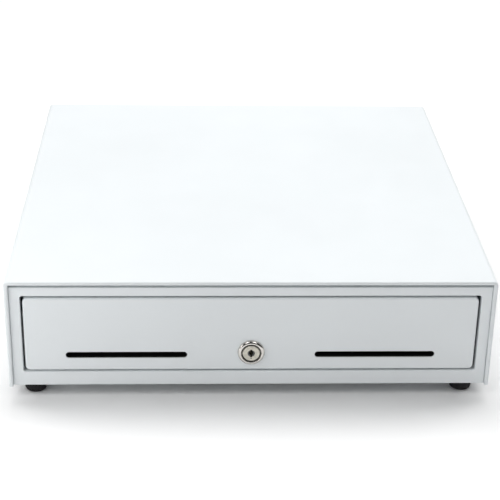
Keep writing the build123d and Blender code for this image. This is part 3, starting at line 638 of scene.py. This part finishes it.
class DRAWER_OT_winding(bpy.types.Operator):
    """Winds the solenoid's coil"""

    bl_idname = "drawer.winding"
    bl_label = "Solenoid winding"

    def execute(self, context):
        low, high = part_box("solenoid_winding")
        centre = middle("solenoid_winding")
        wire = context.scene.drawer_sizes.winding_wire
        radius, length = (high.z - low.z) / 2 - wire, high.x - low.x
        clear_selection()
        bpy.ops.mesh.primitive_cylinder_add(vertices=64, radius=radius, depth=length,
                                            location=centre, rotation=(0, pi / 2, 0))
        core = smooth(settle(added("winding_core")))
        layer = coil("winding_layer", (low.x + wire, centre.y, centre.z), (1, 0, 0), radius, wire,
                     int(length / (2 * wire)), length - 2 * wire, steps=32, sides=6)
        winding = joined([core, layer], "winding_wound")
        wear(winding, "winding", "winding_tape", "case", "solenoid_winding")
        return {"FINISHED"}


# ---------------------------------------------------------------- rivets and contacts
# Where the rivets stand from front to back, and how thick the sheets under them are
RIVET_PLACES = (-0.160, -0.020, 0.120)
BRACKET_SHEET, TRAY_SHEET = 1.2 * MM, 1.0 * MM


def rivet_head(radius, rise):
    """A rivet head domed on both faces, so that it can stand on either side of a wall."""
    clear_selection()
    bpy.ops.mesh.primitive_cylinder_add(vertices=28, radius=radius, depth=rise,
                                        rotation=(0, pi / 2, 0))
    head = settle(added("rivet_head"))
    dome = head.modifiers.new("Dome", "BEVEL")
    dome.width, dome.segments, dome.limit_method = rise * 0.85, 4, "ANGLE"
    return smooth(apply_modifiers(head), angle=40.0)


class DRAWER_OT_rivets(bpy.types.Operator):
    """Sets the rivets that hold the slides to the case and to the tray"""

    bl_idname = "drawer.rivets"
    bl_label = "Slide rivets"

    def execute(self, context):
        sizes = context.scene.drawer_sizes
        height = middle("outer_rail_right").z
        bracket_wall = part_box("slide_bracket_right")[0].x + BRACKET_SHEET
        tray_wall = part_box("drawer_tray")[1].x - TRAY_SHEET
        head = rivet_head(sizes.rivet_radius, sizes.rivet_rise)
        rows = (("bracket_rivets", bracket_wall + sizes.rivet_rise / 2, "case"),
                ("tray_rivets", tray_wall - sizes.rivet_rise / 2, "drawer"))
        for name, x, body in rows:
            heads = [copied(head, "rivet", Vector((side * x, y, height)))
                     for side in (-1, 1) for y in RIVET_PLACES]
            wear(joined(heads, name), "screw zinc", "screw_steel", body)
        bpy.data.objects.remove(head)
        return {"FINISHED"}


# The jack's contacts: how many, how far apart, and their tilt in degrees
CONTACTS, CONTACT_PITCH, CONTACT_TILT = 6, 1.27 * MM, 20.0
CONTACT_SIZE = (0.45 * MM, 7.4 * MM, 0.35 * MM)
# How far the contacts are in from the jack's mouth, and how far above its middle
CONTACT_INSET, CONTACT_RISE = 5.2 * MM, 2.8 * MM


class DRAWER_OT_jack_contacts(bpy.types.Operator):
    """Sets the sprung contacts inside the cable jack"""

    bl_idname = "drawer.jack_contacts"
    bl_label = "Jack contacts"

    def execute(self, context):
        jack = middle("cable_jack")
        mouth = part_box("cable_jack")[1].y
        first_x = jack.x - (CONTACTS - 1) / 2 * CONTACT_PITCH
        place = (first_x, mouth - CONTACT_INSET, jack.z + CONTACT_RISE)
        first = block("contact", CONTACT_SIZE, place, CONTACT_TILT)
        eased(first, width=0.1 * MM, segments=2)
        others = [copied(first, "contact", Vector((number * CONTACT_PITCH, 0, 0)))
                  for number in range(1, CONTACTS)]
        wear(joined([first, *others], "jack_contacts"), "gold", "zinc_steel", "case")
        return {"FINISHED"}


# ---------------------------------------------------------------- lock details
# Set-backs are measured from the plug's face, and the painted reflection mark's from the front of
# the lock's ring
# The black ring is painted shade: it darkens the groove between the plug and the lock's ring, where
# there is only shade
SHADE_RING_RADIUS, SHADE_RING_BORE, SHADE_RING_THICKNESS, SHADE_RING_SET_BACK = 8.2 * MM, 7.42 * MM, 0.35 * MM, 1.05 * MM
BORE_DEPTH, BORE_SET_BACK = 1.0 * MM, 0.7 * MM
SHUTTER_RADIUS, SHUTTER_THICKNESS, SHUTTER_SET_BACK = 3.0 * MM, 0.3 * MM, 0.4 * MM
# The key way's cross: its upright and its bar, each as width, depth and height
KEY_SLOTS = ((1.7 * MM, 2 * MM, 7.2 * MM), (3.6 * MM, 2 * MM, 2.2 * MM))
KEY_SLOT_SET_BACK = 0.5 * MM
DOT_RADIUS, DOT_THICKNESS, DOT_SET_BACK, DOT_DROP = 0.6 * MM, 0.2 * MM, -0.04 * MM, 4.8 * MM
# The dark block at the top of the ring is a painted reflection: it stands for the dark reflection
# between the ring's two highlights
REFLECTION_MARK_SIZE = (0.8 * MM, 0.8 * MM, 2.0 * MM)
REFLECTION_MARK_SET_BACK, REFLECTION_MARK_RISE = 0.42 * MM, 9.6 * MM


class DRAWER_OT_lock_marks(bpy.types.Operator):
    """Adds the lock's black ring of painted shade in the groove round the plug, its key way
    shutter, its index dot and a dark block of painted reflection at the top of its rim
    """

    bl_idname = "drawer.lock_marks"
    bl_label = "Lock details"

    def execute(self, context):
        plug_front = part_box("lock_plug")[0].y
        ring_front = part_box("lock_body")[0].y

        # A black ring of painted shade, set in the groove round the plug
        shade_ring = disc("groove_shade_ring", SHADE_RING_RADIUS, SHADE_RING_THICKNESS, plug_front + SHADE_RING_SET_BACK, steps=72)
        bore = disc("groove_shade_bore", SHADE_RING_BORE, BORE_DEPTH, plug_front + BORE_SET_BACK, steps=72)
        wear(smooth(cut_away(shade_ring, bore)), "black plastic", "black_plastic", "lock_barrel")

        shutter = disc("key_shutter", SHUTTER_RADIUS, SHUTTER_THICKNESS,
                       plug_front + SHUTTER_SET_BACK)
        place = (LOCK_CENTRE.x, plug_front + KEY_SLOT_SET_BACK, LOCK_CENTRE.z)
        for size in KEY_SLOTS:
            cut_away(shutter, block("shutter_slot", size, place))
        wear(smooth(shutter), "dark steel", "nickel", "lock_barrel")

        dot = disc("plug_dot", DOT_RADIUS, DOT_THICKNESS, plug_front + DOT_SET_BACK,
                   drop=DOT_DROP, steps=20)
        wear(eased(dot, width=0.03 * MM, segments=1), "dark steel", "nickel", "lock_barrel")

        # A dark steel block at twelve o'clock on the ring, a painted reflection
        place = (LOCK_CENTRE.x, ring_front + REFLECTION_MARK_SET_BACK, LOCK_CENTRE.z + REFLECTION_MARK_RISE)
        reflection_mark = eased(block("rim_reflection_mark", REFLECTION_MARK_SIZE, place), width=0.25 * MM, segments=3)
        wear(reflection_mark, "dark steel", "nickel", "drawer")
        return {"FINISHED"}


# ---------------------------------------------------------------- sidebar
STEPS = ("stage", "finishes", "kick_springs", "small_springs", "winding", "rivets",
         "jack_contacts", "lock_marks")


class DRAWER_PT_panel(bpy.types.Panel):
    """Lists the drawer's sizes and its making steps"""

    bl_idname = "DRAWER_PT_panel"
    bl_label = "Cash drawer"
    bl_space_type = "VIEW_3D"
    bl_region_type = "UI"
    bl_category = "Cash drawer"

    def draw(self, context):
        for group in (context.scene.drawer_sizes, context.scene.studio_sizes):
            for name in group.__annotations__:
                self.layout.prop(group, name)
        for step in STEPS:
            self.layout.operator(f"drawer.{step}")


CLASSES = (
    DrawerFinishSizes, StudioSizes, DRAWER_OT_stage, DRAWER_OT_finishes, DRAWER_OT_kick_springs,
    DRAWER_OT_small_springs, DRAWER_OT_winding, DRAWER_OT_rivets, DRAWER_OT_jack_contacts,
    DRAWER_OT_lock_marks, DRAWER_PT_panel,
)


def register():
    for cls in CLASSES:
        bpy.utils.register_class(cls)
    bpy.types.Scene.drawer_sizes = bpy.props.PointerProperty(type=DrawerFinishSizes)
    bpy.types.Scene.studio_sizes = bpy.props.PointerProperty(type=StudioSizes)


def unregister():
    del bpy.types.Scene.studio_sizes
    del bpy.types.Scene.drawer_sizes
    for cls in reversed(CLASSES):
        bpy.utils.unregister_class(cls)


def main():
    register()
    for step in STEPS:
        getattr(bpy.ops.drawer, step)()
    clear_selection()


if __name__ == "__main__":
    main()
